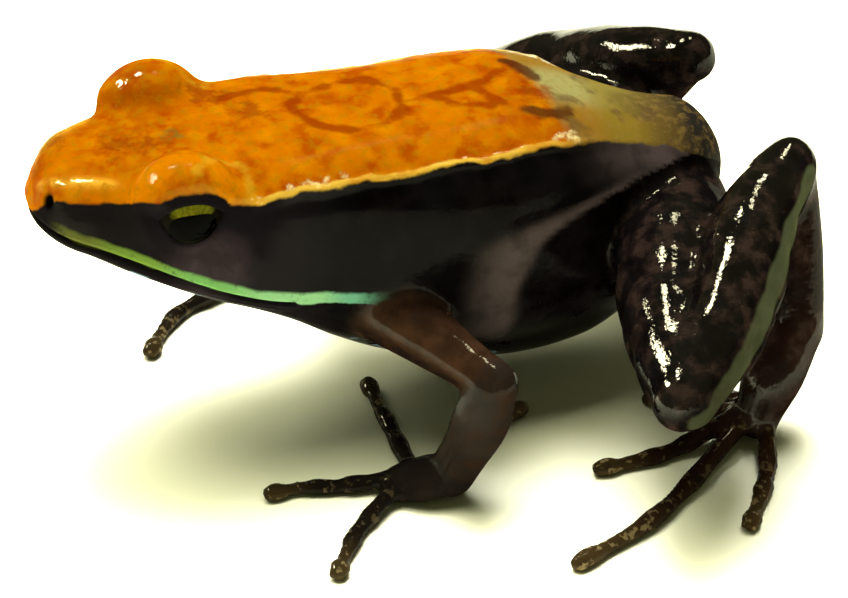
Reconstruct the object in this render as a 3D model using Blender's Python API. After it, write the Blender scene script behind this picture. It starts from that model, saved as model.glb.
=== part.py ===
"""Life-size still model of a brown mantella, a small ground frog, standing on raised forelimbs.

The frog faces -Y, its left side is +X and it stands on Z = 0. Sizes are in millimetres, and the
empty that carries every sub-part scales them to metres. Places are measured from a point on the
floor under the eyes.
"""

import math

import bmesh
import bpy
import numpy as np
from mathutils import Vector

MM = 0.001

# Driving sizes, in mm
GAP = 0.25  # clearance between neighbouring sub-parts
EYE_RADIUS = 1.40
EYE_GAP = 0.10
EYE_CENTRE = (2.98, 0.03, 9.93)
GAZE = (0.996, -0.02, 0.04)
LID_RADII = (1.88, 1.76, 1.70)  # outside of the lids: front to back, height, outward
OPENING_HALF_WIDTH = 1.20
OPENING_HALF_HEIGHT = 0.95
SNOUT_TIP = -4.70
NECK = 4.30
RUMP_END = 18.95
SNOUT_ROUND = 1.35
RUMP_ROUND = 1.50
MOUTH_CORNER = 3.30
GROOVE_HALF_WIDTH = 0.08
GROOVE_DEPTH = 0.20
LIP_WIDTH = 0.22
LIP_ROLL = 0.05

# Lines of the head and trunk: (distance behind the eyes, value in mm)
CROWN = [(-4.7, 10.1), (-3.4, 10.45), (-2.0, 10.65), (0.0, 10.85), (3.5, 10.95), (7.0, 11.0),
         (11.0, 11.15), (12.6, 10.95), (14.5, 10.2), (16.5, 9.45), (18.0, 9.25), (18.95, 9.05)]
WIDEST = [(-4.7, 8.74), (-3.4, 8.62), (-1.5, 8.05), (1.0, 7.3), (3.5, 6.9), (7.0, 6.4),
          (11.0, 6.0), (14.0, 6.1), (16.5, 6.6), (18.95, 7.1)]
KEEL = [(-4.7, 8.34), (-3.4, 7.8), (-2.0, 7.07), (0.0, 6.07), (2.0, 5.15), (3.3, 4.35), (5.0, 3.05),
        (7.0, 2.05), (9.0, 1.55), (11.5, 1.25), (13.5, 1.35), (15.5, 2.3), (17.0, 3.9), (18.95, 5.4)]
HALF_WIDTH = [(-4.7, 1.9), (-3.4, 2.5), (-2.0, 3.1), (0.0, 3.68), (1.6, 4.0), (3.2, 4.1),
              (4.8, 4.0), (7.0, 4.18), (10.0, 4.45), (12.0, 4.25), (14.0, 3.6), (15.8, 2.95),
              (17.4, 2.35), (18.95, 1.75)]
BACK_SQUARE = [(-4.7, 2.6), (-2.0, 3.4), (0.0, 4.0), (2.0, 4.8), (4.0, 4.6), (7.0, 3.7), (12.0, 3.2),
               (15.0, 2.5), (18.95, 2.2)]
BELLY_SQUARE = [(-4.7, 2.3), (0.0, 2.5), (4.0, 2.3), (18.95, 2.1)]
MOUTH = [(-4.7, 8.76), (-3.7, 8.62), (-2.7, 8.36), (-1.5, 7.9), (-0.3, 7.36), (1.3, 6.72), (2.6, 6.3),
         (4.3, 6.0)]

# Joints of the limbs: (left, behind the eyes, above the floor)
SHOULDER = (2.9, 6.3, 5.0)
ELBOW = {"left": (7.75, 9.05, 4.6), "right": (-8.0, 8.3, 4.2)}
WRIST = {"left": (7.25, 7.75, 0.9), "right": (-7.3, 5.9, 0.85)}
KNUCKLES = {"left": (6.75, 6.3, 0.45), "right": (-6.7, 4.3, 0.45)}
HIP = (1.7, 17.0, 6.5)
KNEE = {"left": (11.33, 14.32, 5.6), "right": (-11.25, 14.0, 4.4)}
HEEL = {"left": (3.68, 20.2, 8.87), "right": (-3.78, 19.02, 8.86)}
INSTEP = {"left": (5.6, 20.14, 3.5), "right": (-7.9, 17.6, 3.7)}
TOE_ROOT = {"left": (6.37, 18.62, 0.85), "right": (-9.0, 15.4, 0.85)}

# Fingers and toes on the floor: points from root to tip, (left, behind the eyes)
FINGERS = {
    "left": [
        [(6.2, 8.4), (4.6, 9.5), (3.35, 11.2)],
        [(6.1, 6.9), (3.8, 6.65), (2.25, 6.53), (0.75, 6.48)],
        [(6.4, 5.9), (6.2, 4.2), (6.0, 3.0), (6.04, 1.95)],
        [(7.2, 5.7), (8.64, 4.35), (9.6, 3.75), (10.68, 3.16)],
    ],
    "right": [
        [(-6.7, 6.2), (-5.6, 7.6), (-4.9, 9.2)],
        [(-6.4, 4.9), (-5.4, 4.7), (-4.7, 4.9), (-4.3, 5.6)],
        [(-6.4, 3.7), (-5.3, 1.3), (-4.25, 0.35), (-3.0, -0.38)],
        [(-7.3, 3.7), (-8.6, 2.7), (-9.6, 2.5), (-10.8, 2.7)],
    ],
}
TOES = {
    "left": [
        [(5.3, 18.6), (4.4, 18.2), (3.5, 17.5)],
        [(5.5, 18.0), (5.0, 16.9), (4.5, 16.2), (3.9, 15.6)],
        [(6.2, 17.2), (6.93, 15.5), (7.2, 14.2), (7.33, 12.86)],
        [(7.0, 17.3), (8.9, 15.43), (10.62, 13.42), (12.06, 10.78)],
        [(7.0, 18.9), (8.6, 18.25), (9.95, 17.62), (11.4, 16.76)],
    ],
    "right": [
        [(-8.2, 15.5), (-7.6, 14.9), (-7.0, 14.0)],
        [(-8.4, 14.9), (-7.9, 13.8), (-7.6, 13.0), (-7.3, 12.3)],
        [(-8.8, 14.4), (-9.2, 12.9), (-9.3, 11.7), (-9.6, 10.4)],
        [(-9.5, 14.4), (-11.1, 12.6), (-12.4, 10.9), (-13.7, 8.9)],
        [(-9.8, 15.7), (-11.3, 15.3), (-12.6, 14.8), (-14.0, 14.0)],
    ],
}
FINGER_RADIUS = 0.30
TOE_RADIUS = 0.32
DISC_RADIUS = 0.36
DIGIT_LIFT = 0.25  # height of a digit's middle line where it lies on the floor

# Colours, roughness
ORANGE = (0.80, 0.27, 0.01)
BLACK_SKIN = (0.018, 0.015, 0.017)
BROWN_SKIN = (0.050, 0.030, 0.020)
EYE_BLACK = (0.012, 0.011, 0.008)


def along(points, places):
    """A smooth curve through (place, value) points that never overshoots them, read at places."""
    x, y = np.array(points, float).T
    h, slope = np.diff(x), np.diff(y) / np.diff(x)
    tangent = np.concatenate([slope[:1], np.zeros(len(x) - 2), slope[-1:]])
    for k in range(1, len(x) - 1):
        if slope[k - 1] * slope[k] > 0:
            w1, w2 = 2 * h[k] + h[k - 1], h[k] + 2 * h[k - 1]
            tangent[k] = (w1 + w2) / (w1 / slope[k - 1] + w2 / slope[k])
    places = np.clip(np.asarray(places, float), x[0], x[-1])
    k = np.clip(np.searchsorted(x, places) - 1, 0, len(x) - 2)
    t = (places - x[k]) / h[k]
    return (y[k] * (1 + 2 * t) * (1 - t) ** 2 + y[k + 1] * t * t * (3 - 2 * t)
            + h[k] * t * (1 - t) * ((1 - t) * tangent[k] - t * tangent[k + 1]))


def spline(points, count):
    """Catmull-Rom curve through 3-D points, as count points evenly spread over its spans."""
    p = np.array(points, float)
    p = np.vstack([2 * p[0] - p[1], p, 2 * p[-1] - p[-2]])
    u = np.linspace(0, len(points) - 1, count)
    k = np.clip(u.astype(int), 0, len(points) - 2)
    t = (u - k)[:, None]
    a, b, c, d = p[k], p[k + 1], p[k + 2], p[k + 3]
    return 0.5 * (2 * b + (c - a) * t + (2 * a - 5 * b + 4 * c - d) * t ** 2
                  + (3 * b - a - 3 * c + d) * t ** 3)


def unit(v):
    v = np.asarray(v, float)
    return v / np.linalg.norm(v, axis=-1, keepdims=True)


def end_rounding(y):
    """Share of the full section left at y: 1 along the body, falling on an ellipse to 0 at both ends."""
    front = np.clip((SNOUT_TIP + SNOUT_ROUND - y) / SNOUT_ROUND, 0, 1)
    back = np.clip((y - RUMP_END + RUMP_ROUND) / RUMP_ROUND, 0, 1)
    return np.sqrt(1 - front ** 2) * np.sqrt(1 - back ** 2)


def section_radius(y, angle, grow=0.0):
    """Distance from the section's middle to the skin, at an angle above the horizontal.

    Each half of a section is a superellipse: squarer over the back, rounder under the belly."""
    share = end_rounding(y)
    middle = along(WIDEST, y)
    wide = along(HALF_WIDTH, y) * share + grow
    up = angle > 0
    tall = np.where(up, along(CROWN, y) - middle, middle - along(KEEL, y)) * share + grow
    power = np.where(up, along(BACK_SQUARE, y), along(BELLY_SQUARE, y))
    c, s = np.abs(np.cos(angle)), np.abs(np.sin(angle))
    return ((c / wide) ** power + (s / tall) ** power) ** (-1 / power)


def body_point(y, angle, radius):
    return np.stack([radius * np.cos(angle), y, along(WIDEST, y) + radius * np.sin(angle)], -1)


def mouth_angle(y):
    """Angle at which the section's surface crosses the mouth line, found by bisection."""
    low, high = np.full_like(y, -math.pi / 2), np.full_like(y, math.pi / 2)
    target = along(MOUTH, y) - along(WIDEST, y)
    for _ in range(30):
        middle = (low + high) / 2
        above = section_radius(y, middle) * np.sin(middle) > target
        high, low = np.where(above, middle, high), np.where(above, low, middle)
    return (low + high) / 2


def mesh_object(name, points, faces, origin, colour, roughness):
    """One closed mesh of triangles, smooth shaded, with its own origin and material."""
    origin = np.array(origin, float)
    mesh = bpy.data.meshes.new(name)
    mesh.from_pydata((np.asarray(points) - origin).tolist(), [], faces)
    mesh.validate()
    bm = bmesh.new()
    bm.from_mesh(mesh)
    bmesh.ops.triangulate(bm, faces=bm.faces)
    bmesh.ops.recalc_face_normals(bm, faces=bm.faces)
    bm.to_mesh(mesh)
    bm.free()
    mesh.shade_smooth()
    mesh.set_sharp_from_angle(angle=math.radians(50))
    material = bpy.data.materials.new(name + "_finish")
    material.use_nodes = True
    surface = material.node_tree.nodes["Principled BSDF"]
    surface.inputs["Base Color"].default_value = (*colour, 1)
    surface.inputs["Roughness"].default_value = roughness
    surface.inputs["Metallic"].default_value = 0.0
    mesh.materials.append(material)
    made = bpy.data.objects.new(name, mesh)
    made.location = Vector(origin)
    made.parent = FROG
    bpy.context.scene.collection.objects.link(made)
    return made


def ring_faces(rings, columns, first_pole=None, last_pole=None):
    """Quads between closed rings, with a fan to a pole or a flat cap at each end."""
    faces = []
    for r in range(rings - 1):
        for c in range(columns):
            d = (c + 1) % columns
            faces.append((r * columns + c, r * columns + d, (r + 1) * columns + d, (r + 1) * columns + c))
    last = (rings - 1) * columns
    if first_pole is None:
        faces.append(tuple(range(columns - 1, -1, -1)))
    else:
        faces += [(first_pole, (c + 1) % columns, c) for c in range(columns)]
    if last_pole is None:
        faces.append(tuple(last + c for c in range(columns)))
    else:
        faces += [(last_pole, last + c, last + (c + 1) % columns) for c in range(columns)]
    return faces


def make_head():
    """Head from the snout to the neck: rows follow the mouth line, whose row is sunk as a groove."""
    rows_up, rows_down = 9, 4
    turn = np.linspace(0.16, math.pi / 2, 6)
    y = np.concatenate([
        SNOUT_TIP + SNOUT_ROUND * (1 - np.cos(turn)),
        np.linspace(SNOUT_TIP + SNOUT_ROUND, NECK - GAP / 2, 15)[1:],
    ])
    mouth = mouth_angle(y)
    half = section_radius(y, mouth)
    fade = np.clip((MOUTH_CORNER - y) / 0.5, 0, 1)
    lip, edge = (GROOVE_HALF_WIDTH + LIP_WIDTH) / half, GROOVE_HALF_WIDTH / half
    columns = []
    for k in range(rows_up + 1):
        angle = math.pi / 2 + (mouth + lip - math.pi / 2) * k / rows_up
        columns.append((angle, section_radius(y, angle) + (LIP_ROLL if k == rows_up else 0) * fade))
    columns.append((mouth + edge, section_radius(y, mouth + edge)))
    columns.append((mouth, half - GROOVE_DEPTH * fade))
    columns.append((mouth - edge, section_radius(y, mouth - edge)))
    for k in range(rows_down + 1):
        angle = mouth - lip + (-math.pi / 2 - mouth + lip) * k / rows_down
        columns.append((angle, section_radius(y, angle) + (LIP_ROLL if k == 0 else 0) * fade))
    left = [body_point(y, angle, radius) for angle, radius in columns]
    right = [p * (-1, 1, 1) for p in left[-2:0:-1]]
    grid = np.stack(left + right, axis=1)
    points = np.vstack([grid.reshape(-1, 3), [(0, SNOUT_TIP + 0.03, MOUTH[0][1])]])
    faces = ring_faces(len(y), grid.shape[1], first_pole=len(points) - 1)
    head = mesh_object("head", points, faces, (0, NECK, 7.0), ORANGE, 0.4)
    for side in (1, -1):
        cut(head, lids(side), "UNION")
        cut(head, socket_cutter(side))
        cut(head, nostril_cutter(side))
        cut(head, eardrum(side), "UNION")
    return head


def make_torso(name="torso", grow=0.0, columns=32, rings=18):
    """Trunk from the neck to the vent, or the same swollen by grow as a cutter."""
    turn = np.linspace(0, math.pi / 2 - 0.16, 6)
    straight = np.linspace(NECK + GAP / 2 - grow, RUMP_END - RUMP_ROUND, rings)
    y = np.concatenate([straight, RUMP_END - RUMP_ROUND + RUMP_ROUND * np.sin(turn[1:])])
    angle = np.linspace(0, 2 * math.pi, columns, endpoint=False) + math.pi / 2
    angle = (angle + math.pi) % (2 * math.pi) - math.pi
    yy, aa = np.meshgrid(y, angle, indexing="ij")
    points = body_point(yy, aa, section_radius(yy, aa, grow)).reshape(-1, 3)
    pole = len(points)
    points = np.vstack([points, [(0, RUMP_END + grow, along(WIDEST, RUMP_END))]])
    return mesh_object(name, points, ring_faces(len(y), columns, last_pole=pole),
                       (0, NECK, 6.5), ORANGE, 0.4)


def ball(centre, radii, axis, segments=16, rings=10):
    """Ellipsoid with its third radius along axis and its second upright."""
    bm = bmesh.new()
    bmesh.ops.create_uvsphere(bm, u_segments=segments, v_segments=rings, radius=1.0)
    turn = Vector(axis).normalized().to_track_quat("Z", "Y").to_matrix()
    points = [turn @ Vector((v.co.x * radii[0], v.co.y * radii[1], v.co.z * radii[2])) for v in bm.verts]
    faces = [tuple(v.index for v in f.verts) for f in bm.faces]
    bm.free()
    return np.array(points) + np.array(centre), faces


def helper(obj):
    """Marks a cutter, which is no part of the frog."""
    obj.hide_render = True
    obj.display_type = "WIRE"
    return obj


def cut(obj, other, operation="DIFFERENCE"):
    modifier = obj.modifiers.new("cut", "BOOLEAN")
    modifier.operation = operation
    modifier.object = helper(other)
    modifier.solver = "EXACT"


def of_side(point, side):
    """A point or direction given for the left, taken to its own side: 1 left, -1 right."""
    return np.array(point, float) * (side, 1, 1)


def named(word, side):
    return f"{word}_left" if side > 0 else f"{word}_right"


def lids(side):
    """Upper and lower lid as one dome round the eyeball, its foot deep in the head."""
    centre = of_side(EYE_CENTRE, side)
    points, faces = ball(centre, LID_RADII, of_side(GAZE, side), 18, 10)
    return mesh_object(named("lids", side), points, faces, centre, ORANGE, 0.4)


def socket_cutter(side):
    """Hollow for the eyeball, and the opening between the lids as a cone from the eye's centre."""
    centre, gaze = of_side(EYE_CENTRE, side), unit(of_side(GAZE, side))
    points, faces = ball(centre, (EYE_RADIUS + EYE_GAP,) * 3, gaze, 16, 8)
    socket = helper(mesh_object(named("socket", side), points, faces, centre, EYE_BLACK, 0.3))
    across = unit(np.cross((0, 0, 1), gaze))
    upright = np.cross(gaze, across)
    turn = np.linspace(0, 2 * math.pi, 18, endpoint=False)[:, None]
    rings = [centre + gaze * EYE_RADIUS * reach
             + spread * (np.cos(turn) * across * OPENING_HALF_WIDTH + np.sin(turn) * upright * OPENING_HALF_HEIGHT)
             for reach, spread in ((0.1, 0.2), (1.6, 1.6))]
    cone = mesh_object(named("opening", side), np.vstack(rings), ring_faces(2, 18), centre, EYE_BLACK, 0.3)
    cut(socket, cone, "UNION")
    return socket


def nostril_cutter(side):
    centre = of_side((1.30, -4.08, 9.62), side)
    points, faces = ball(centre, (0.19, 0.13, 0.34), of_side((0.8, -0.5, 0.30), side), 8, 6)
    return mesh_object(named("nostril", side), points, faces, centre, EYE_BLACK, 0.3)


def eardrum(side):
    """Disc behind the eye, just proud of the skin."""
    y, angle = np.array([2.6]), np.array([0.40])
    centre = of_side(body_point(y, angle, section_radius(y, angle) - 0.12)[0], side)
    points, faces = ball(centre, (0.58, 0.58, 0.2), of_side((1.0, 0.05, 0.12), side), 12, 6)
    return mesh_object(named("eardrum", side), points, faces, centre, BLACK_SKIN, 0.4)


def make_eye(side):
    centre = of_side(EYE_CENTRE, side)
    points, faces = ball(centre, (EYE_RADIUS,) * 3, of_side(GAZE, side), 18, 10)
    return mesh_object(named("eye", side), points, faces, centre, EYE_BLACK, 0.08)


def tube(name, path, radii, colour, columns=12, flat=1.0, side=(0, 0, 1), grow=0.0):
    """A limb: elliptical rings along a path, with round ends; nothing reaches below the floor.

    radii are (share of the length, radius) points. flat is the section's depth along side as a
    share of its width. grow swells it all round, for a cutter."""
    path = np.asarray(path, float)
    step = np.linalg.norm(np.diff(path, axis=0), axis=1)
    length = np.concatenate([[0], np.cumsum(step)])
    share = length / length[-1]
    radius = along(radii, share)
    tangent = unit(np.gradient(path, length, axis=0))
    across = unit(np.cross(np.broadcast_to(side, path.shape), tangent))
    deep = np.cross(tangent, across)
    turn = np.linspace(0, math.pi / 2, 4)[1:-1]
    rings = [(path[0] - tangent[0] * (radius[0] * np.sin(t) + grow), radius[0] * np.cos(t), 0) for t in turn[::-1]]
    rings += [(path[k], radius[k], k) for k in range(len(path))]
    rings += [(path[-1] + tangent[-1] * (radius[-1] * np.sin(t) + grow), radius[-1] * np.cos(t), -1) for t in turn]
    spin = np.linspace(0, 2 * math.pi, columns, endpoint=False)[:, None]
    points = [c + np.cos(spin) * across[k] * (r + grow) + np.sin(spin) * deep[k] * (r * flat + grow)
              for c, r, k in rings]
    poles = [path[0] - tangent[0] * (radius[0] + grow), path[-1] + tangent[-1] * (radius[-1] + grow)]
    count = len(rings) * columns
    points = np.vstack(points + [poles])
    if grow == 0:
        points[:, 2] = np.maximum(points[:, 2], 0)
    return mesh_object(name, points, ring_faces(len(rings), columns, count, count + 1),
                       path[0], colour, 0.35)


def slice_off(obj, point, away):
    """Cuts the object flat at a point, clears what lies on the away side, and closes the cut."""
    mesh = obj.data
    bm = bmesh.new()
    bm.from_mesh(mesh)
    place = Vector(point) - obj.location
    geometry = bm.verts[:] + bm.edges[:] + bm.faces[:]
    made = bmesh.ops.bisect_plane(bm, geom=geometry, plane_co=place, plane_no=Vector(away),
                                  dist=1e-5, clear_outer=True)
    rim = [e for e in made["geom_cut"] if isinstance(e, bmesh.types.BMEdge)]
    bmesh.ops.holes_fill(bm, edges=rim, sides=0)
    bmesh.ops.triangulate(bm, faces=bm.faces)
    bmesh.ops.recalc_face_normals(bm, faces=bm.faces)
    bm.to_mesh(mesh)
    bm.free()


def part_at_joint(first, second, joint, before, after, gap=GAP):
    """Parts two limbs by the plane that halves their angle, each cut back by half the gap."""
    joint = np.array(joint, float)
    along_bend = unit(unit(np.array(after) - joint) - unit(np.array(before) - joint))
    slice_off(first, joint - along_bend * gap / 2, along_bend)
    slice_off(second, joint + along_bend * gap / 2, -along_bend)


def make_arm(side, torso_cutter):
    word = named("", side)[1:]
    shoulder, elbow = of_side(SHOULDER, side), np.array(ELBOW[word])
    wrist, knuckles = np.array(WRIST[word]), np.array(KNUCKLES[word])
    upper = tube(f"upper_arm_{word}", spline([shoulder, (shoulder + elbow) / 2 + (0, 0, 0.1), elbow], 7),
                 [(0, 1.15), (0.5, 0.98), (1, 0.80)], BROWN_SKIN)
    bulge = (elbow + wrist) / 2 + of_side((0.12, 0.1, 0), side)
    forearm = tube(f"forearm_{word}", spline([elbow, bulge, wrist], 7),
                   [(0, 0.8), (0.35, 0.93), (0.8, 0.84), (1, 0.8)], BLACK_SKIN, side=(0, 1, 0))
    palm_path = spline([wrist, (wrist + knuckles) / 2, knuckles], 6)
    palm_radii = [(0, 0.9), (0.5, 1.0), (1, 0.9)]
    hand = tube(f"hand_{word}", palm_path, palm_radii, BLACK_SKIN, flat=0.62)
    cut(upper, torso_cutter)
    part_at_joint(upper, forearm, elbow, shoulder, wrist)
    part_at_joint(forearm, hand, wrist, elbow, knuckles)
    clearance = tube(f"palm_clearance_{word}", palm_path, palm_radii, BLACK_SKIN, flat=0.62, grow=GAP)
    for number, points in enumerate(FINGERS[word], 1):
        digit(f"finger_{word}_{number}", points, FINGER_RADIUS, 0.55, clearance)


def digit(name, points, radius, root_height, root_cutter):
    """A finger or toe lying on the floor: knuckled, with a small round disc at its tip."""
    floor = [(x, y, DIGIT_LIFT) for x, y in points]
    floor[0] = (*points[0], root_height)
    made = tube(name, spline(floor, 9), [(0, radius * 1.15), (0.3, radius), (0.5, radius * 1.1),
                                         (0.72, radius * 0.85), (0.86, radius * 0.8), (0.96, DISC_RADIUS),
                                         (1, DISC_RADIUS * 0.85)], BLACK_SKIN, 8, flat=0.9)
    cut(made, root_cutter)


def make_leg(side, torso_cutter):
    word = named("", side)[1:]
    hip, knee = of_side(HIP, side), np.array(KNEE[word])
    heel, instep, root = np.array(HEEL[word]), np.array(INSTEP[word]), np.array(TOE_ROOT[word])
    thigh = tube(f"thigh_{word}", spline([hip, (hip + knee) / 2 + (0, -0.25, -0.1), knee], 11),
                 [(0, 1.7), (0.3, 1.95), (0.7, 1.7), (1, 1.15)], BLACK_SKIN, 16)
    calf = knee * 0.6 + heel * 0.4 + of_side((0.15, 0.1, -0.1), side)
    shin = knee * 0.25 + heel * 0.75 + of_side((0, -0.3, 0), side)
    shank = tube(f"shank_{word}", spline([knee, calf, shin, heel], 13),
                 [(0, 1.1), (0.3, 1.5), (0.6, 1.47), (0.82, 1.24), (1, 0.93)], BLACK_SKIN, 16)
    tarsus = tube(f"tarsus_{word}", spline([heel, (heel + instep) / 2 + (0, 0.1, 0), instep], 7),
                  [(0, 0.84), (0.5, 0.88), (1, 0.88)], BLACK_SKIN, side=(0, 1, 0))
    foot_path = spline([instep, (instep + root) / 2 + of_side((0.05, -0.15, 0), side), root], 7)
    foot_radii = [(0, 0.98), (0.5, 1.2), (1, 0.9)]
    foot = tube(f"foot_{word}", foot_path, foot_radii, BLACK_SKIN, flat=0.85, side=(0, 1, 0.2))
    cut(thigh, torso_cutter)
    part_at_joint(thigh, shank, knee, hip, heel)
    part_at_joint(shank, tarsus, heel, knee, instep)
    part_at_joint(tarsus, foot, instep, heel, root)
    clearance = tube(f"foot_clearance_{word}", foot_path, foot_radii, BLACK_SKIN, flat=0.85,
                     side=(0, 1, 0.2), grow=GAP)
    for number, points in enumerate(TOES[word], 1):
        digit(f"toe_{word}_{number}", points, TOE_RADIUS, 0.7, clearance)


def stand_over_origin():
    """Moves the frog so that the middle of its plan is over the origin."""
    corners = [np.array(obj.location + v.co) for obj in FROG.children if not obj.hide_render
               for v in obj.data.vertices]
    middle = (np.min(corners, axis=0) + np.max(corners, axis=0)) / 2
    FROG.location = (-middle[0] * MM, -middle[1] * MM, 0)


for old in list(bpy.data.objects):
    bpy.data.objects.remove(old)
FROG = bpy.data.objects.new("frog", None)
FROG.scale = (MM, MM, MM)
bpy.context.scene.collection.objects.link(FROG)
make_head()
make_torso()
TORSO_CLEARANCE = make_torso("torso_clearance", GAP)
for SIDE in (1, -1):
    make_eye(SIDE)
    make_arm(SIDE, TORSO_CLEARANCE)
    make_leg(SIDE, TORSO_CLEARANCE)
stand_over_origin()
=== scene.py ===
import math

import bmesh
import bpy
import numpy as np
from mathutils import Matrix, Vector


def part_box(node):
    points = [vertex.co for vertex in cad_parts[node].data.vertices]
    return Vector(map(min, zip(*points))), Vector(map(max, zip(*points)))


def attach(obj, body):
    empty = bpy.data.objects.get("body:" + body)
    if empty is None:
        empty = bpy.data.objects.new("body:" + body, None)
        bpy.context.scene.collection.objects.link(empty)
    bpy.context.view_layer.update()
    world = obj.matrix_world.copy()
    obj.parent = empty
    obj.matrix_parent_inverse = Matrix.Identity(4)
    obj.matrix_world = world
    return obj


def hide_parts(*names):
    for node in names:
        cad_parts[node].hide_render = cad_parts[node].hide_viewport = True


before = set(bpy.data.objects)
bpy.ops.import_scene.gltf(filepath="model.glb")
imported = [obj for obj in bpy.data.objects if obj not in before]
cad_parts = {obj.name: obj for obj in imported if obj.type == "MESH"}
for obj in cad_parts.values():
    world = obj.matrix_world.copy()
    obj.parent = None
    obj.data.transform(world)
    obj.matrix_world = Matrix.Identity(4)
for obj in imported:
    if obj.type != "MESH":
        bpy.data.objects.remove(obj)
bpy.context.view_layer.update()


# Head and trunk
# A brown mantella's body is one smooth form: a wedge of a head held up, a boxy back, a round belly
# and a rump that slopes to the vent. The mouth runs round the head as a fine sunk line.

MM = 0.001
EYE_CENTRE = np.array((2.98, 0.03, 9.93))
eye_low, eye_high = (np.array(corner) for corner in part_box("eye_left"))
FROG_ORIGIN = (eye_low + eye_high) / 2 - EYE_CENTRE * MM  # the floor under the eyes, in the row's frame

SNOUT_TIP = -4.70
RUMP_END = 18.95
SNOUT_ROUND = 1.35
RUMP_ROUND = 1.50
# Heights of the body's top, of its widest line and of its bottom, and half its width, by place along it
CROWN = [(-4.7, 10.1), (-3.4, 10.45), (-2.0, 10.65), (0.0, 10.85), (3.5, 10.95), (7.0, 11.0),
         (11.0, 11.15), (12.6, 10.95), (14.5, 10.2), (16.5, 9.45), (18.0, 9.25), (18.95, 9.05)]
WIDEST = [(-4.7, 8.74), (-3.4, 8.62), (-1.5, 8.05), (1.0, 7.3), (3.5, 6.9), (7.0, 6.4),
          (11.0, 6.0), (14.0, 6.1), (16.5, 6.6), (18.95, 7.1)]
KEEL = [(-4.7, 8.34), (-3.4, 7.8), (-2.0, 7.07), (0.0, 6.07), (2.0, 5.15), (3.3, 4.35), (5.0, 3.05),
        (7.0, 2.05), (9.0, 1.55), (11.5, 1.25), (13.5, 1.35), (15.5, 2.3), (17.0, 3.9), (18.95, 5.4)]
HALF_WIDTH = [(-4.7, 1.9), (-3.4, 2.5), (-2.0, 3.1), (0.0, 3.68), (1.6, 4.0), (3.2, 4.1),
              (4.8, 4.0), (7.0, 4.18), (10.0, 4.45), (12.0, 4.25), (14.0, 3.6), (15.8, 2.95),
              (17.4, 2.35), (18.95, 1.75)]
# Powers of the superellipses over the back and under the belly: 2 is round and more is squarer
BACK_SQUARE = [(-4.7, 2.6), (-2.0, 3.4), (0.0, 4.0), (2.0, 4.8), (4.0, 4.6), (7.0, 3.7), (12.0, 3.2),
               (15.0, 2.5), (18.95, 2.2)]
BELLY_SQUARE = [(-4.7, 2.3), (0.0, 2.5), (4.0, 2.3), (18.95, 2.1)]
# Height of the line of the mouth
MOUTH = [(-4.7, 8.76), (-3.7, 8.62), (-2.7, 8.36), (-1.5, 7.9), (-0.3, 7.36), (1.3, 6.72), (2.6, 6.3),
         (4.3, 6.0), (6.0, 5.75)]
END_RINGS = 24
BODY_RINGS = 150
BODY_SIDES = 120


def along(points, places):
    """A curve through (place, value) points, read at places: cubic pieces whose slopes are the weighted
    harmonic mean of their neighbours', so that it never overshoots a point."""
    x, y = np.array(points, float).T
    h, slope = np.diff(x), np.diff(y) / np.diff(x)
    same = slope[:-1] * slope[1:] > 0
    w1, w2 = 2 * h[1:] + h[:-1], h[1:] + 2 * h[:-1]
    safe = np.where(same, slope[:-1], 1), np.where(same, slope[1:], 1)
    inner = np.where(same, (w1 + w2) / (w1 / safe[0] + w2 / safe[1]), 0)
    tangent = np.concatenate([slope[:1], inner, slope[-1:]])
    places = np.clip(np.asarray(places, float), x[0], x[-1])
    k = np.clip(np.searchsorted(x, places) - 1, 0, len(x) - 2)
    t = (places - x[k]) / h[k]
    return (y[k] * (1 + 2 * t) * (1 - t) ** 2 + y[k + 1] * t * t * (3 - 2 * t)
            + h[k] * t * (1 - t) * ((1 - t) * tangent[k] - t * tangent[k + 1]))


def section_radius(y, angle):
    """Distance from a section's middle to the skin at an angle above the horizontal: a superellipse
    over the back and another under the belly, shrinking on an ellipse at the snout and the rump."""
    front = np.clip((SNOUT_TIP + SNOUT_ROUND - y) / SNOUT_ROUND, 0, 1)
    back = np.clip((y - RUMP_END + RUMP_ROUND) / RUMP_ROUND, 0, 1)
    share = np.sqrt(1 - front ** 2) * np.sqrt(1 - back ** 2) + 1e-6
    middle, up = along(WIDEST, y), angle > 0
    wide = along(HALF_WIDTH, y) * share
    tall = np.where(up, along(CROWN, y) - middle, middle - along(KEEL, y)) * share
    power = np.where(up, along(BACK_SQUARE, y), along(BELLY_SQUARE, y))
    across, upward = np.abs(np.cos(angle)) / wide, np.abs(np.sin(angle)) / tall
    return (across ** power + upward ** power) ** (-1 / power)


def grid_surface(grid):
    """Points and faces of a grid of rings, each ring closed, with the first and the last ring capped
    by a point at its mean."""
    rings, columns = grid.shape[:2]
    points = np.vstack([grid.reshape(-1, 3), grid[0].mean(0), grid[-1].mean(0)])
    r, c = np.meshgrid(np.arange(rings - 1), np.arange(columns), indexing="ij")
    d = (c + 1) % columns
    quads = np.stack([r * columns + c, r * columns + d, (r + 1) * columns + d, (r + 1) * columns + c], -1)
    c = np.arange(columns)
    d = (c + 1) % columns
    first, last = len(points) - 2, len(points) - 1
    base = (rings - 1) * columns
    fans = np.concatenate([np.stack([d, c, c * 0 + first], -1),
                           np.stack([base + c, base + d, c * 0 + last], -1)])
    return points, quads.reshape(-1, 4), fans


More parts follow.
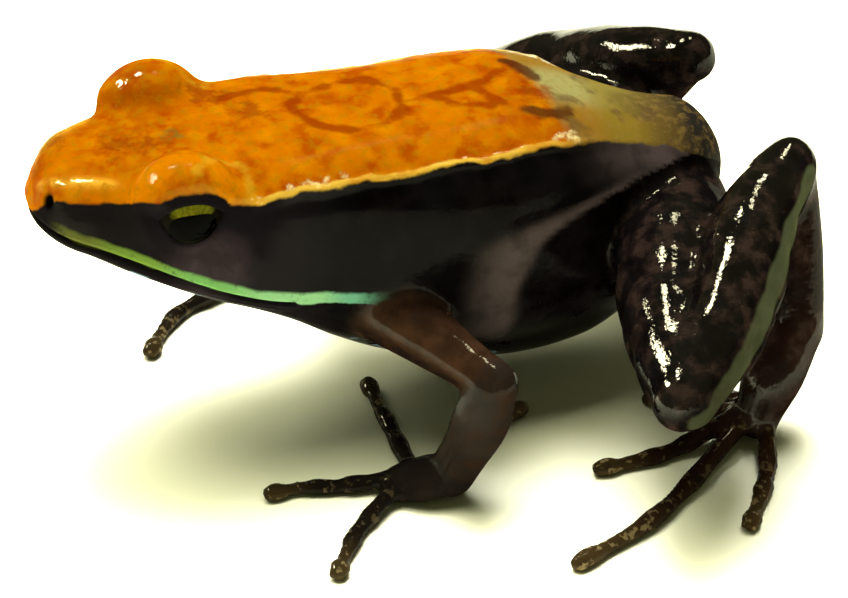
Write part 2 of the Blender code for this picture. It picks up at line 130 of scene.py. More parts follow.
def trunk_form():
    """The body: rings of section_radius at places along Y, closer together at both ends."""
    turn = np.linspace(0.03, math.pi / 2, END_RINGS)
    y = np.concatenate([SNOUT_TIP + SNOUT_ROUND * (1 - np.cos(turn)),
                        np.linspace(SNOUT_TIP + SNOUT_ROUND, RUMP_END - RUMP_ROUND, BODY_RINGS)[1:-1],
                        RUMP_END - RUMP_ROUND * (1 - np.cos(turn[::-1]))])
    angle = np.linspace(-math.pi, math.pi, BODY_SIDES, endpoint=False)
    yy, aa = np.meshgrid(y, angle, indexing="ij")
    radius = section_radius(yy, aa)
    height = along(WIDEST, yy) + radius * np.sin(aa)
    return grid_surface(np.stack([radius * np.cos(aa), yy, height], -1))


forms = [trunk_form()]


# Lids
# Each eye bulges from the side of the head under an upper lid, and the lower lid rises to meet it. The
# opening between them is a wide almond, and the lids thin down to a soft rim that lies on the eyeball.

EYE_RADIUS = 1.40
LID_RADII = (1.88, 1.76, 1.70)
GAZE = np.array((0.996, -0.02, 0.04))
SIDES = {"left": np.array((1.0, 1.0, 1.0)), "right": np.array((-1.0, 1.0, 1.0))}


def gaze_axes(side):
    """The eye's rearward, upward and outward directions."""
    out = GAZE * SIDES[side]
    out = out / np.linalg.norm(out)
    up = np.array((0, 0, 1.0)) - out * out[2]
    up = up / np.linalg.norm(up)
    return np.array((0, 1.0, 0)), up, out


def round_eye(side, radii, rings, columns, pole):
    """An ellipsoid round the eye's centre: sines and cosines of two angles, each with a radius and a
    direction. Its rings begin and end a small angle, pole, from the line of gaze."""
    a, b = np.meshgrid(np.linspace(pole, math.pi - pole, rings),
                       np.linspace(0, 2 * math.pi, columns, endpoint=False), indexing="ij")
    shares = np.sin(a) * np.cos(b), np.sin(a) * np.sin(b), np.cos(a)
    reach = sum(share[..., None] * axis * radius
                for share, axis, radius in zip(shares, gaze_axes(side), radii))
    return grid_surface(EYE_CENTRE * SIDES[side] + reach)


forms += [round_eye(side, LID_RADII, rings=30, columns=48, pole=0.08) for side in SIDES]


# Arms and hands
# The arms hold the chest up: a bare rufous upper arm, a stout forearm and a hand of four slim fingers
# that lie spread on the floor. Each finger swells at its joints and ends in a small round disc.

ARMS = {
    "left": {"shoulder": (2.9, 6.3, 5.0), "elbow": (7.75, 9.05, 4.6), "wrist": (7.25, 7.75, 0.9),
             "knuckles": (6.75, 6.3, 0.45),
             "fingers": [[(6.2, 8.4), (4.6, 9.5), (3.35, 11.2)],
                         [(6.1, 6.9), (3.8, 6.65), (2.25, 6.53), (0.75, 6.48)],
                         [(6.4, 5.9), (6.2, 4.2), (6.0, 3.0), (6.04, 1.95)],
                         [(7.2, 5.7), (8.64, 4.35), (9.6, 3.75), (10.68, 3.16)]]},
    "right": {"shoulder": (-2.9, 6.3, 5.0), "elbow": (-8.0, 8.3, 4.2), "wrist": (-7.3, 5.9, 0.85),
              "knuckles": (-6.7, 4.3, 0.45),
              "fingers": [[(-6.7, 6.2), (-5.6, 7.6), (-4.9, 9.2)],
                          [(-6.4, 4.9), (-5.4, 4.7), (-4.7, 4.9), (-4.3, 5.6)],
                          [(-6.4, 3.7), (-5.3, 1.3), (-4.25, 0.35), (-3.0, -0.38)],
                          [(-7.3, 3.7), (-8.6, 2.7), (-9.6, 2.5), (-10.8, 2.7)]]},
}
UPPER_ARM_RADII = [(0, 1.2), (0.5, 0.98), (0.85, 0.8), (1, 0.82)]
FOREARM_RADII = [(0, 0.8), (0.35, 0.95), (0.75, 0.82), (1, 0.8)]
PALM_RADII = [(0, 0.88), (0.5, 1.0), (1, 0.88)]
PALM_FLAT = 0.62
FINGER_RADIUS = 0.30
DISC_RADIUS = 0.36
DIGIT_FLAT = 0.85
DIGIT_LIFT = 0.25
KNUCKLE_SHARE = 0.35  # how far a digit's root is drawn in towards the knuckles or the sole
LIMB_SIDES = 28
CAP_RINGS = 8


def curve(points, count):
    """A smooth path through 3-D points: each span is the cubic that leaves and meets its ends along
    the line between their neighbours."""
    p = np.array(points, float)
    p = np.vstack([2 * p[0] - p[1], p, 2 * p[-1] - p[-2]])
    u = np.linspace(0, len(points) - 1, count)
    k = np.clip(u.astype(int), 0, len(points) - 2)
    t = (u - k)[:, None]
    a, b, c, d = p[k], p[k + 1], p[k + 2], p[k + 3]
    return 0.5 * (2 * b + (c - a) * t + (2 * a - 5 * b + 4 * c - d) * t ** 2
                  + (3 * b - a - 3 * c + d) * t ** 3)


def limb_form(path, radii, flat=1.0, upright=(0, 0, 1)):
    """An oval profile carried along a path: its radius follows radii along the path's length, its depth
    is flat times that, and a quarter circle closes each end."""
    step = np.linalg.norm(np.diff(path, axis=0), axis=1)
    length = np.concatenate([[0], np.cumsum(step)])
    radius = along(radii, length / length[-1])
    tangent = np.gradient(path, length, axis=0)
    tangent /= np.linalg.norm(tangent, axis=1, keepdims=True)
    turn = np.linspace(0, math.pi / 2, CAP_RINGS)[1:-1]
    back, front = turn[::-1, None], turn[:, None]
    centre = np.vstack([path[0] - tangent[0] * radius[0] * np.sin(back), path,
                        path[-1] + tangent[-1] * radius[-1] * np.sin(front)])
    wide = np.concatenate([radius[0] * np.cos(turn[::-1]), radius, radius[-1] * np.cos(turn)])
    forward = np.vstack([np.repeat(tangent[:1], len(turn), 0), tangent,
                         np.repeat(tangent[-1:], len(turn), 0)])
    across = np.cross(np.broadcast_to(upright, forward.shape), forward)
    across /= np.linalg.norm(across, axis=1, keepdims=True)
    deep = np.cross(forward, across)
    spin = np.linspace(0, 2 * math.pi, LIMB_SIDES, endpoint=False)[None, :, None]
    grid = (centre[:, None] + np.cos(spin) * across[:, None] * wide[:, None, None]
            + np.sin(spin) * deep[:, None] * wide[:, None, None] * flat)
    grid[..., 2] = np.maximum(grid[..., 2], 0)
    return grid_surface(grid)


def digit_path(points, root_height):
    """A digit's middle line: it leaves the palm or sole at root_height and lies on the floor."""
    floor = [(x, y, DIGIT_LIFT) for x, y in points]
    floor[0] = (*points[0], root_height)
    return curve(floor, 40)


def digit_radii(radius):
    """A digit's radius along its length: swollen at its joints, narrow before the disc at its tip."""
    return [(0, radius * 1.15), (0.22, radius * 0.98), (0.34, radius * 1.12), (0.46, radius * 0.9),
            (0.62, radius * 1.08), (0.74, radius * 0.84), (0.87, radius * 0.78), (0.955, DISC_RADIUS),
            (1, DISC_RADIUS * 0.85)]


def grow(kind, path, radii, **shape):
    """Adds a limb's form and keeps its line, which the skin's colours and creases follow."""
    forms.append(limb_form(path, radii, **shape))
    limbs.append((kind, path, radii))


def grow_digits(kind, lines, base, root_height, radius):
    """Adds the fingers of a hand or the toes of a foot, whose roots are drawn in towards its base."""
    for points in lines:
        root = base[:2] * KNUCKLE_SHARE + np.array(points[0]) * (1 - KNUCKLE_SHARE)
        grow(kind, digit_path([root] + points[1:], root_height), digit_radii(radius), flat=DIGIT_FLAT)


limbs = []
for side, sign in SIDES.items():
    arm = {name: np.array(place) for name, place in ARMS[side].items() if name != "fingers"}
    bend = (arm["shoulder"] + arm["elbow"]) / 2 + (0, 0, 0.1)
    grow("upper_arm", curve([arm["shoulder"], bend, arm["elbow"]], 40), UPPER_ARM_RADII)
    bulge = (arm["elbow"] + arm["wrist"]) / 2 + sign * (0.12, 0.1, 0)
    grow("forearm", curve([arm["elbow"], bulge, arm["wrist"]], 40), FOREARM_RADII, upright=(0, 1, 0))
    palm = curve([arm["wrist"], (arm["wrist"] + arm["knuckles"]) / 2, arm["knuckles"]], 24)
    grow("hand", palm, PALM_RADII, flat=PALM_FLAT)
    grow_digits("finger", ARMS[side]["fingers"], arm["knuckles"], root_height=0.5, radius=FINGER_RADIUS)


# Legs and feet
# The hind legs fold in three: a thick thigh out from the hip, the calf back along it to a raised heel
# beside the rump, then the long ankle down to a foot with five toes, the fourth much the longest.

LEGS = {
    "left": {"hip": (1.7, 17.0, 6.5), "knee": (11.33, 14.32, 5.6), "heel": (3.68, 20.2, 8.87),
             "instep": (5.6, 20.14, 3.5), "sole": (6.37, 18.62, 0.85),
             "toes": [[(5.3, 18.6), (4.4, 18.2), (3.5, 17.5)],
                      [(5.5, 18.0), (5.0, 16.9), (4.5, 16.2), (3.9, 15.6)],
                      [(6.2, 17.2), (6.93, 15.5), (7.2, 14.2), (7.33, 12.86)],
                      [(7.0, 17.3), (8.9, 15.43), (10.62, 13.42), (12.06, 10.78)],
                      [(7.0, 18.9), (8.6, 18.25), (9.95, 17.62), (11.4, 16.76)]]},
    "right": {"hip": (-1.7, 17.0, 6.5), "knee": (-11.25, 14.0, 4.4), "heel": (-3.78, 19.02, 8.86),
              "instep": (-7.9, 17.6, 3.7), "sole": (-9.0, 15.4, 0.85),
              "toes": [[(-8.2, 15.5), (-7.6, 14.9), (-7.0, 14.0)],
                       [(-8.4, 14.9), (-7.9, 13.8), (-7.6, 13.0), (-7.3, 12.3)],
                       [(-8.8, 14.4), (-9.2, 12.9), (-9.3, 11.7), (-9.6, 10.4)],
                       [(-9.5, 14.4), (-11.1, 12.6), (-12.4, 10.9), (-13.7, 8.9)],
                       [(-9.8, 15.7), (-11.3, 15.3), (-12.6, 14.8), (-14.0, 14.0)]]},
}
THIGH_RADII = [(0, 1.7), (0.3, 1.95), (0.7, 1.65), (1, 1.1)]
SHANK_RADII = [(0, 1.05), (0.3, 1.47), (0.6, 1.46), (0.82, 1.24), (1, 0.94)]
ANKLE_RADII = [(0, 0.84), (0.5, 0.87), (1, 0.88)]
SOLE_RADII = [(0, 0.98), (0.5, 1.19), (1, 0.9)]
SOLE_FLAT = 0.85
TOE_RADIUS = 0.32

for side, sign in SIDES.items():
    leg = {name: np.array(place) for name, place in LEGS[side].items() if name != "toes"}
    bend = (leg["hip"] + leg["knee"]) / 2 + (0, -0.25, -0.1)
    grow("thigh", curve([leg["hip"], bend, leg["knee"]], 60), THIGH_RADII)
    calf = leg["knee"] * 0.6 + leg["heel"] * 0.4 + sign * (0.15, 0.1, -0.1)
    shin = leg["knee"] * 0.25 + leg["heel"] * 0.75 + sign * (0.0, -0.3, 0.0)
    grow("shank", curve([leg["knee"], calf, shin, leg["heel"]], 61), SHANK_RADII)
    bend = (leg["heel"] + leg["instep"]) / 2 + (0, 0.1, 0)
    grow("ankle", curve([leg["heel"], bend, leg["instep"]], 40), ANKLE_RADII, upright=(0, 1, 0))
    bend = (leg["instep"] + leg["sole"]) / 2 + sign * (0.05, -0.15, 0)
    grow("sole", curve([leg["instep"], bend, leg["sole"]], 30), SOLE_RADII, flat=SOLE_FLAT,
         upright=(0, 1, 0.2))
    grow_digits("toe", LEGS[side]["toes"], leg["sole"], root_height=0.7, radius=TOE_RADIUS)


# Skin
# One moist skin covers everything but the eyes. The forms above are fused in a fine even net, and the
# net is relaxed so that limbs grow out of the body without a seam.

VOXEL = 0.16
CREASE_WIDTH = 0.4
LID_FOOT_WIDTH = 0.6
EYE_ZONE = (3.4, 2.8)  # from outside to inside it, measured from the eye's centre
EYES = [EYE_CENTRE * sign for sign in SIDES.values()]


def joined(shapes):
    """One mesh of all the shapes' points and faces, each shape's faces counted on from the last one's
    points."""
    start, points, faces = 0, [], []
    for verts, quads, fans in shapes:
        points.append(verts)
        faces += (quads + start).tolist() + (fans + start).tolist()
        start += len(verts)
    mesh = bpy.data.meshes.new("forms")
    mesh.from_pydata(np.vstack(points).tolist(), [], faces)
    mesh.update()
    return mesh


def in_scene(name, data):
    """A new object of that name and data, linked into the scene."""
    made = bpy.data.objects.new(name, data)
    bpy.context.scene.collection.objects.link(made)
    return made


def places(mesh):
    """The mesh's points as an array."""
    flat = np.empty(len(mesh.vertices) * 3)
    mesh.vertices.foreach_get("co", flat)
    return flat.reshape(-1, 3)


def place(mesh, points):
    """Puts the mesh's points where the array says."""
    mesh.vertices.foreach_set("co", points.ravel())
    mesh.update()


def ends(mesh):
    """The two point numbers of each edge."""
    flat = np.empty(len(mesh.edges) * 2, int)
    mesh.edges.foreach_get("vertices", flat)
    return flat.reshape(-1, 2).T


def neighbour_sum(values, edges):
    """The sum of one value over each point's neighbours in the net."""
    a, b = edges
    return np.bincount(a, values[b], len(values)) + np.bincount(b, values[a], len(values))


def neighbour_count(points, edges):
    """How many neighbours each point has."""
    return sum(np.bincount(end, minlength=len(points)) for end in edges)


def relaxed(points, edges, rounds, keep=1.0, weight=1.0):
    """Moves each point towards the mean of its neighbours, then back by keep times as much, which
    takes out the net's steps and holds the volume."""
    count = neighbour_count(points, edges)
    weight = np.broadcast_to(weight, len(points))[:, None]
    for _ in range(rounds):
        for share in (0.5, -0.53 * keep):
            total = np.stack([neighbour_sum(points[:, k], edges) for k in range(3)], -1)
            points = points + share * weight * (total / count[:, None] - points)
    return points


def spread(values, rounds):
    """Values at the net's points, each mixed half and half with its neighbours' mean in each round."""
    count = neighbour_count(values, edges)
    for _ in range(rounds):
        values = (values + neighbour_sum(values, edges) / count) / 2
    return values


def distance_to(points, path, reach=np.inf):
    """Distance from each point to a path of straight spans, and how far along its spans that is, from 0
    to 1. Points further than reach outside the path's own box aren't measured and get the reach."""
    boxed = ((points > path.min(0) - reach) & (points < path.max(0) + reach)).all(1)
    apart, share = np.full(len(points), reach), np.zeros(len(points))
    start, span = path[:-1], np.diff(path, axis=0)
    away = points[boxed][:, None] - start
    t = np.clip((away * span).sum(-1) / (span * span).sum(-1), 0, 1)
    gap = np.linalg.norm(away - t[..., None] * span, axis=-1)
    nearest, row = gap.argmin(1), np.arange(boxed.sum())
    apart[boxed], share[boxed] = gap[row, nearest], (nearest + t[row, nearest]) / len(start)
    return apart, share


def from_nearest(points, centres):
    """Distance from each point to the nearest of several centres."""
    return np.min([np.linalg.norm(points - centre, axis=1) for centre in centres], axis=0)


def smooth_step(low, high, value):
    """0 below low, 1 above high, and an S-curve between."""
    t = np.clip((value - low) / (high - low), 0, 1)
    return t * t * (3 - 2 * t)


def bell(value, middle, width):
    """1 where the value is the middle, falling off on both sides as e to the minus square of the
    distance over the width."""
    return np.exp(-((value - middle) / width) ** 2)


def round_middle(points):
    """How far each point is from its section's middle, and its angle above the horizontal."""
    height = points[:, 2] - along(WIDEST, points[:, 1])
    return np.hypot(points[:, 0], height), np.arctan2(height, np.abs(points[:, 0]))


def form_gaps(points):
    """How far each point lies outside each form, with the name of each form's kind."""
    out_from_middle, angle = round_middle(points)
    gaps = [np.minimum(out_from_middle - section_radius(points[:, 1], angle), 9.0)]
    for side, sign in SIDES.items():
        apart = np.stack([(points - EYE_CENTRE * sign) @ axis / radius
                          for axis, radius in zip(gaze_axes(side), LID_RADII)], -1)
        gaps.append((np.linalg.norm(apart, axis=1) - 1) * min(LID_RADII))
    for kind, path, radii in limbs:
        apart, share = distance_to(points, path[::3] if kind in ("finger", "toe") else path[::4], 3.0)
        gaps.append(apart - along(radii, share))
    return np.array(gaps), np.array(["body", "lid", "lid"] + [kind for kind, path, radii in limbs])


def between_forms(gaps):
    """How much further off the second nearest form is than the nearest: 0 in the crease between two."""
    nearest, second = np.sort(gaps, axis=0)[:2]
    return second - nearest


rough = in_scene("rough", joined(forms))
net = rough.modifiers.new("net", "REMESH")
net.mode = "VOXEL"
net.voxel_size = VOXEL
skin_mesh = bpy.data.meshes.new_from_object(rough.evaluated_get(bpy.context.evaluated_depsgraph_get()))
bpy.data.objects.remove(rough)
skin_mesh.name = "skin"

# The whole net is relaxed a little, the creases between forms more, and the feet of the lids most
edges = ends(skin_mesh)
points = relaxed(places(skin_mesh), edges, 12)
between = between_forms(form_gaps(points)[0])
points = relaxed(points, edges, 25, keep=0.8, weight=bell(between, 0, CREASE_WIDTH))
around_lids = bell(between, 0, LID_FOOT_WIDTH) * smooth_step(*EYE_ZONE, from_nearest(points, EYES))
place(skin_mesh, relaxed(points, edges, 90, keep=0.75, weight=around_lids))


def mouth_path(side):
    """The line of the mouth on one side: for each place along Y, the angle where the section's skin is at
    the height of MOUTH, found by halving."""
    y = np.linspace(SNOUT_TIP + 0.01, 3.3, 60)
    low, high = np.full_like(y, -math.pi / 2), np.full_like(y, math.pi / 2)
    target = along(MOUTH, y) - along(WIDEST, y)
    for _ in range(30):
        middle = (low + high) / 2
        above = section_radius(y, middle) * np.sin(middle) > target
        high, low = np.where(above, middle, high), np.where(above, low, middle)
    return np.stack([section_radius(y, low) * np.cos(low), y, along(MOUTH, y)], -1) * SIDES[side]


mouth = np.vstack([mouth_path("right")[::-1], mouth_path("left")])
NOSTRILS = [np.array((1.30, -4.08, 9.62)) * sign for sign in SIDES.values()]
OPENING = (1.03, 0.12, 0.55, 1.0)  # half width, height of its corners, height above and depth below them
LID_ZONE = 2.4  # how far from the eye's centre the lids reach
FINE_ZONE = 0.4  # how far from the mouth and the nostrils the net is made finer
RIM_ZONE = 0.28  # and how far from the rims of the lids


def opening_margin(points, side):
    """Millimetres inside the almond opening, negative outside, measured on the eyeball, and the distance
    from the eye's centre. The almond lies between two arcs that meet at its corners, and it ends where
    the eyeball turns away."""
    rear, up, out = gaze_axes(side)
    reach = points - EYE_CENTRE * SIDES[side]
    far = np.linalg.norm(reach, axis=1)
    width, corner, above, below = OPENING
    s, t, depth = reach @ rear / far * EYE_RADIUS, reach @ up / far * EYE_RADIUS - corner, reach @ out
    arch = 1 - np.abs(s / width) ** 2.4
    inside = np.minimum(above * arch - t, t + below * arch) * 0.9
    return np.where(depth > 0, inside - 1.5 * smooth_step(0.6, 0.2, depth / far), -2.0), far


def finer(mesh, wanted):
    """Halves the edges of each face whose corners are all wanted."""
    form = bmesh.new()
    form.from_mesh(mesh)
    form.verts.ensure_lookup_table()
    chosen = [face for face in form.faces if all(wanted[v.index] for v in face.verts)]
    halved = list({edge for face in chosen for edge in face.edges})
    bmesh.ops.subdivide_edges(form, edges=halved, cuts=1, use_grid_fill=True)
    form.to_mesh(mesh)
    form.free()


for _ in range(2):
    points = places(skin_mesh)
    near = distance_to(points, mouth, 1.0)[0] < FINE_ZONE
    near |= from_nearest(points, NOSTRILS) < FINE_ZONE
    for side in SIDES:
        margin, far = opening_margin(points, side)
        near |= (np.abs(margin) < RIM_ZONE) & (far < LID_ZONE)
    finer(skin_mesh, near)
    place(skin_mesh, relaxed(places(skin_mesh), ends(skin_mesh), 2))

# The lids thin down to their rim, and the skin inside the opening drops behind the eyeball. A fine
# fold, 0.04 mm deep, runs round each opening 0.38 mm outside its rim.
RIM_RADIUS = EYE_RADIUS + 0.10
SUNK_RADIUS = EYE_RADIUS - 0.3
LID_TAPER = 0.75  # how far from the rim the lid has its full height
points = places(skin_mesh)
edges = ends(skin_mesh)
relief = np.zeros(len(points))
lid_margin = np.full(len(points), -2.0)
for side, sign in SIDES.items():
    margin, far = opening_margin(points, side)
    taper = RIM_RADIUS + (far - RIM_RADIUS) * smooth_step(0.0, LID_TAPER, -margin)
    wanted = taper + (SUNK_RADIUS - taper) * smooth_step(-0.02, 0.12, margin)
    wanted = np.where((margin > -1.2) & (far < LID_ZONE), wanted, far)
    lid_margin = np.maximum(lid_margin, np.where(far < LID_ZONE, margin, -2.0))
    relief -= np.where(far < LID_ZONE, 0.04 * bell(margin, -0.38, 0.07), 0)
    points = EYE_CENTRE * sign + (points - EYE_CENTRE * sign) * (wanted / far)[:, None]
place(skin_mesh, points)

# The edge of the back is a low wavy ridge from the snout over the lid to the rump, where the two
# colours meet. It is given as an angle above the section's middle for each place along the body.
EDGE_OF_BACK = [(-4.7, 18), (-4.45, 29), (-4.1, 34), (-3.2, 33), (-1.8, 35), (-1.0, 34.5), (0.0, 38.5),
                (0.9, 37.5), (1.6, 37.5), (2.6, 39), (3.7, 42), (5.3, 45), (7.0, 47.5), (8.7, 49.7),
                (10.4, 51.7), (12.5, 54.5), (14.0, 57), (16.0, 56), (17.4, 44), (18.0, 33), (18.95, 20)]
RIDGE = [(-4.7, 0.0), (-3.5, 0.03), (-1.5, 0.03), (-0.5, 0.0), (1.6, 0.0), (2.6, 0.12), (5.0, 0.15),
         (10.0, 0.14), (13.0, 0.14), (14.5, 0.04), (17.5, 0.02), (18.95, 0.0)]
y = points[:, 1]
out_from_middle, angle = round_middle(points)
wave = 0.035 * np.sin(y * 2.3 + points[:, 0]) + 0.02 * np.sin(y * 5.9 + 1.0)
edge = (angle - np.radians(along(EDGE_OF_BACK, y))) * out_from_middle + wave * smooth_step(1.5, 3.0, y)

# Which form each point of the skin belongs to: the one whose own surface lies nearest
gaps, kinds = form_gaps(points)
kinds[kinds == "lid"] = "body"
owner = kinds[np.argmin(gaps, axis=0)]
share_of = {kind: spread((owner == kind).astype(float), 8) for kind in dict.fromkeys(kinds)}
digit_place = np.zeros(len(points))
for kind, path, radii in limbs:
    if kind in ("finger", "toe"):
        apart, share = distance_to(points, path[::3], 0.6)
        digit_place = np.where(apart < 0.55, np.maximum(digit_place, share), digit_place)

# The mouth is a groove between two soft lips, the nostrils are pits and the eardrum is a faint disc
EARDRUMS = [np.array((3.95, 2.6, 8.6)) * sign for sign in SIDES.values()]
EARDRUM_RADIUS = 0.6
normal = np.empty(len(points) * 3)
skin_mesh.vertex_normals.foreach_get("vector", normal)
normal = normal.reshape(-1, 3)
from_mouth = distance_to(points, mouth, 1.0)[0]
relief += 0.05 * bell(from_mouth, 0.26, 0.12) - 0.20 * bell(from_mouth, 0, 0.085)
relief -= 0.36 * bell(from_nearest(points, NOSTRILS), 0, 0.16)
drum = from_nearest(points, EARDRUMS)
relief += 0.05 * bell(drum, EARDRUM_RADIUS, 0.12) - 0.03 * smooth_step(EARDRUM_RADIUS, 0.4, drum)

# Muscles show as low swellings on the legs, and the back ends in its ridge and in a brow over the snout
muscle = np.sin(points @ (1.9, 1.2, 0.7)) * np.sin(points @ (-0.8, 2.3, 1.5) + 1)
muscle += np.sin(points @ (3.1, -2.0, 1.8))
relief += np.where(points[:, 0] > 0, 0.032, 0.014) * muscle * (share_of["thigh"] + share_of["shank"])
ridge = along(RIDGE, y) * share_of["body"] * (points[:, 2] > 7)
relief += ridge * (bell(edge, 0.05, 0.15) - 0.5 * bell(edge, -0.33, 0.22))
brow = smooth_step(-4.6, -4.0, y) * smooth_step(-1.2, -2.2, y) * share_of["body"]
relief += 0.08 * brow * bell(edge, 0.55, 0.32)


def one_sided(points):
    """The points with the right half of the body laid over on the left."""
    return np.column_stack([np.abs(points[:, 0]), points[:, 1:]])


# Small warts along the ridge, as far apart as on the live frog, catch the light
WARTS = [(3.73, 2.2, 10.2), (3.58, 3.36, 10.4), (3.54, 4.0, 10.4), (3.44, 4.55, 10.4), (3.35, 5.3, 10.4),
         (2.74, 12.4, 10.5), (2.56, 12.9, 10.4), (2.75, 13.15, 10.2)]
warts = sum(bell(np.linalg.norm(one_sided(points) - wart, axis=1), 0, 0.17) for wart in WARTS)
relief += 0.07 * warts
points = points + normal * relief[:, None]
points[:, 2] = np.maximum(points[:, 2], 0.0)
place(skin_mesh, points * MM + FROG_ORIGIN)
skin_mesh.shade_smooth()
skin = in_scene("skin", skin_mesh)
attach(skin, "root")
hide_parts(*[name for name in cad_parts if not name.startswith("eye")])


def tone(code):
    """An sRGB hex colour as three linear values."""
    value = np.array([int(code[k:k + 2], 16) for k in (1, 3, 5)]) / 255
    return np.where(value <= 0.04045, value / 12.92, ((value + 0.055) / 1.055) ** 2.4)


def painted(base, *layers):
    """One colour at every point with others laid over it in turn, each by its share at each point."""
    mix = np.tile(tone(base), (len(points), 1))
    for code, share in layers:
        share = np.asarray(share)[:, None]
        mix = mix * (1 - share) + tone(code) * share
    return mix


def spot(centre, radius):
    """1 at a centre and 0 from the radius out, as an S-curve."""
    return smooth_step(radius, radius * 0.35, np.linalg.norm(points - np.array(centre), axis=1))


def attribute(name, values):
    """Keeps values on the skin's points for its material: a number or a colour each."""
    kind, field = ("FLOAT_COLOR", "color") if values.ndim == 2 else ("FLOAT", "value")
    if values.ndim == 2:
        values = np.column_stack([values, np.ones(len(values))])
    skin_mesh.attributes.new(name, kind, "POINT").data.foreach_set(field, values.ravel())


# Colours of the upper side: orange over head and back as far as a slanting line across the hips, then
# an olive tan that turns brown and nearly black towards the vent
x, y, z = points.T
past_hips = smooth_step(-0.25, 0.35, y - (12.35 + 0.22 * x))
# A painted highlight: a pale yellow streak along the brow, above the edge of the orange on the snout
brow_painted_highlight = bell(edge, 0.62, 0.18) * smooth_step(-4.6, -4.2, y) * smooth_step(-1.7, -2.4, y)
attribute("upper_colour", painted(
    "#ba6500",
    ("#a85500", smooth_step(1.5, 0.0, y) * smooth_step(-3.5, -1.5, y)),
    ("#c87200", smooth_step(4.0, 1.0, y) * smooth_step(1.8, 3.0, x)),
    ("#a85502", smooth_step(9.5, 12.5, y)),
    ("#6b4a14", spread(past_hips * (1 - past_hips) * 4, 3) * 0.6),
    ("#98905a", past_hips),
    ("#8a5f10", past_hips * smooth_step(0.5, 1.6, np.abs(x + 0.2 * (y - 13))) * 0.9),
    ("#7c6a24", past_hips * smooth_step(13.8, 14.8, y) * 0.75),
    ("#5a4a22", spot((0.0, 15.7, 9.7), 1.1) * 0.6),
    ("#4c3a22", smooth_step(15.2, 16.8, y) * 0.8),
    ("#24211e", smooth_step(16.6, 17.8, y)),
    ("#ffcc40", 0.6 * brow_painted_highlight)))
attribute("hips", past_hips)
# How strong the pale line along the edge of the back is: partly yellow pigment, partly painted highlight
# on the ridge
RIM_PIGMENT_AND_HIGHLIGHT = [(-1.5, 0.0), (0.0, 0.12), (1.6, 0.2), (2.6, 0.7), (8.0, 0.7), (12.5, 0.55), (13.6, 0.0)]
attribute("rim", along(RIM_PIGMENT_AND_HIGHLIGHT, y))

# Colours of the sides and under side: near black, with greyer bands and, beneath, pale blue flecks
# Where the dark groin begins, and how quickly the greyer skin before it fades, by height
GROIN = [(2.0, 10.4), (4.3, 10.6), (6.4, 11.0), (7.4, 11.6), (8.0, 12.8), (8.35, 14.6), (8.6, 17.4)]
GREY_SHEEN_FADE = [(5.0, 1.0), (7.5, 0.8), (9.0, 0.45)]
LIMB_COLOURS = {"upper_arm": "#402a1d", "forearm": "#28211d", "hand": "#201a17", "finger": "#1a1410",
                "thigh": "#0c0809", "shank": "#0b0707", "ankle": "#160c09", "sole": "#20120c",
                "toe": "#281810"}
ahead = along(GROIN, z) - y + 0.08 * np.sin(3 * z)
faded = smooth_step(2.2, 0.5, ahead * along(GREY_SHEEN_FADE, z))
digit = share_of["finger"] + share_of["toe"]
attribute("under_colour", painted(
    "#090809",
    ("#050303", spot((4.1, 6.3, 9.4), 1.6)),
    ("#050303", spot((4.1, 9.9, 8.8), 1.9)),
    # Grey in front of the groin: partly the skin's own grey, partly painted sheen on the flank
    ("#504444", smooth_step(-0.3, 0.35, ahead) * faded * smooth_step(3.2, 5.5, z)),
    # Behind that line the groin is darkened further: painted shade from the thigh
    ("#050303", smooth_step(0.25, -0.4, ahead)),
    ("#141115", smooth_step(5.0, 3.0, y)),
    ("#3a3036", spot((4.0, 0.6, 8.0), 1.8) * 0.8),
    ("#171516", smooth_step(-0.8, -2.4, y)),
    *[(code, share_of[kind]) for kind, code in LIMB_COLOURS.items()],
    # The upper arm darkened where its skin faces down: painted shade on its underside
    ("#110d0c", 0.9 * share_of["upper_arm"] * smooth_step(0.15, -0.25, normal[:, 2])),
    ("#463820", digit * smooth_step(0.45, 0.95, digit_place) * 0.7)))

# The lip's stripe changes from yellow-green at the snout to mint and turquoise, and ends at the arm
attribute("stripe_colour", painted(
    "#565a26",
    ("#678236", smooth_step(-3.4, -1.8, y)),
    ("#6ca05c", smooth_step(-1.5, 0.4, y)),
    ("#8abd8c", smooth_step(0.8, 3.0, y)),
    ("#66a48a", smooth_step(4.0, 5.2, y)),
    ("#2f5040", smooth_step(5.2, 6.2, y))))
attribute("lip", z - along(MOUTH, y))
attribute("lip_share", smooth_step(6.6, 6.0, y) * smooth_step(0.4, 0.7, share_of["body"])
          * smooth_step(-4.3, -3.6, y))

# Masks for the material: where the orange ends, and where the skin is nostril, leg, arm, belly or digit
from_nostril = from_nearest(points, NOSTRILS)
attribute("edge", np.minimum(edge - 4 * (1 - share_of["body"]), (-lid_margin - 0.26) * 1.5))
attribute("nostril", from_nostril)
attribute("leg", share_of["thigh"] + share_of["shank"] + share_of["ankle"] + share_of["sole"])
attribute("arm", share_of["upper_arm"] + 0.7 * share_of["forearm"])
attribute("belly", share_of["body"] * smooth_step(-0.45, -0.75, normal[:, 2])
          * smooth_step(3.6, 2.8, np.abs(x)))
attribute("digit", digit * (0.25 + 0.75 * smooth_step(0.3, 0.9, digit_place)))
# Painted highlights: pale spots on the warts along the ridge, where their tops would catch the lamp
attribute("wart", spread(warts, 6))

